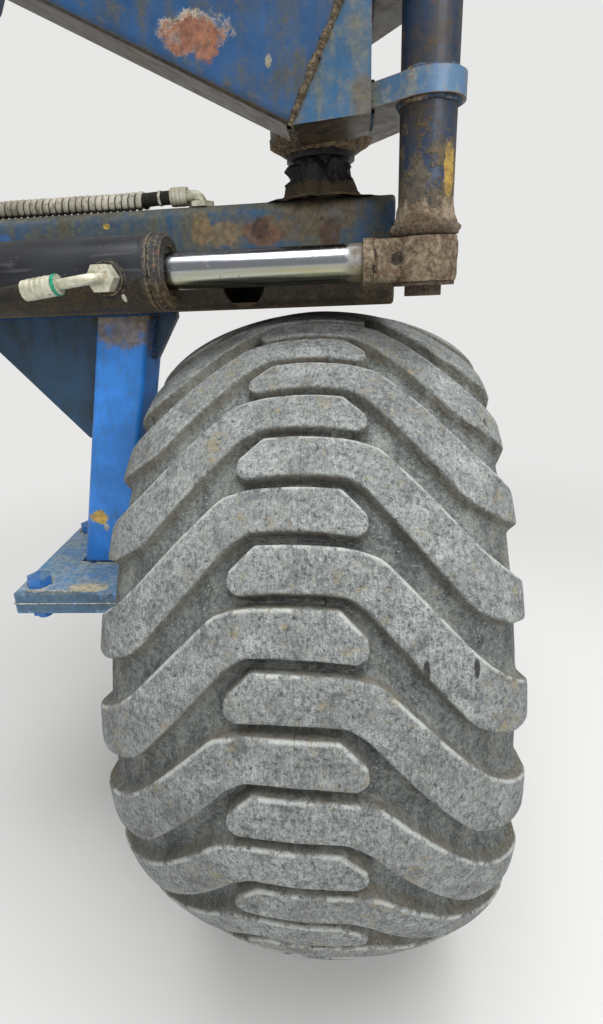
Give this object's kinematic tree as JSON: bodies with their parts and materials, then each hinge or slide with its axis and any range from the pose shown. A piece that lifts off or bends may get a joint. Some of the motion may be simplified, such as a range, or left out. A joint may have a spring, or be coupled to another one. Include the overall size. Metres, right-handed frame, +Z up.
{
  "type": "transport wheel corner of a folding land roller",
  "caption": "Land roller transport wheel with lugged tyre on a stub axle, bolted leg, box beam, and a wing hinge with lever, post, arm stub and hydraulic fold ram.",
  "frame": {"origin": "centre of the outer face of the main beam's bolted inner flange", "axes": "+X outwards along the beam and the wheel's axle, +Y to the side away from the ram, +Z up"},
  "size_m": [0.904, 0.874, 1.393],
  "materials": {
    "blue_paint": "worn blue paint with mud and rust",
    "black_paint": "dusty black paint",
    "tyre_rubber": "dusty worn rubber",
    "rim_paint": "silver paint, dusty",
    "zinc": "zinc plated steel",
    "chrome_rod": "polished hard chrome",
    "rusty_steel": "rusted and muddy steel",
    "greasy_steel": "steel black with old grease",
    "rubber": "dusty black rubber",
    "hose_wrap": "dusty spiral hose guard in grey plastic"
  },
  "bodies": {
    "frame": {"main_beam": "blue_paint", "beam_flange": "blue_paint", "beam_end_cap": "blue_paint", "wheel_leg": "blue_paint", "leg_foot_plate": "blue_paint", "axle_plate": "blue_paint", "foot_bolts": "blue_paint", "leg_gusset": "blue_paint", "leg_rib": "blue_paint", "axle_saddle": "blue_paint", "stub_axle": "zinc", "pivot_pin": "greasy_steel", "ram_bracket": "blue_paint", "ram_base_pin": "zinc", "beam_hose_tab": "blue_paint", "beam_union": "zinc", "beam_elbow": "zinc", "beam_hose": "rubber", "hose_wrap": "hose_wrap"},
    "wheel": {"tyre": "tyre_rubber", "rim": "rim_paint", "hub": "black_paint", "hub_cap": "zinc", "wheel_studs": "zinc", "valve": "rubber"},
    "wing": {"pivot_sleeve": "blue_paint", "lever_plate": "blue_paint", "upper_lever_plate": "blue_paint", "post": "blue_paint", "post_flange": "rusty_steel", "post_cap": "blue_paint", "wing_arm": "blue_paint", "wing_flange": "blue_paint", "head_box": "blue_paint", "head_web": "blue_paint"},
    "ram_barrel": {"ram_barrel": "black_paint", "ram_gland": "black_paint", "port_fitting": "zinc", "port_plug": "zinc", "union_fitting": "zinc", "ram_hose": "rubber"},
    "ram_rod": {"ram_rod": "chrome_rod", "rod_eye": "rusty_steel", "rod_washer": "rusty_steel", "rod_pin": "rusty_steel"}
  },
  "joints": [
    {"name": "wheel_spin", "type": "hinge", "parent": "frame", "child": "wheel", "pos_m": [0.7, 0.035, -0.505], "axis": [1, 0, 0], "continuous": true},
    {"name": "wing_fold", "type": "hinge", "parent": "frame", "child": "wing", "pos_m": [0.708, 0, 0.1], "axis": [0, 0, 1], "range_deg": [-80, 0]},
    {"name": "ram_yaw", "type": "hinge", "parent": "frame", "child": "ram_barrel", "pos_m": [0.085, -0.115, -0.015], "axis": [0, 0, 1], "range_deg": [-4, 4]},
    {"name": "rod_slide", "type": "slide", "parent": "ram_barrel", "child": "ram_rod", "axis": [1, 0, 0], "range_m": [-0.21, 0.01]}
  ],
  "couplings": [
    {"joint": "ram_yaw", "follows": "wing_fold", "ratio": 0.02198},
    {"joint": "rod_slide", "follows": "wing_fold", "m_per_rad": 0.14781}
  ]
}
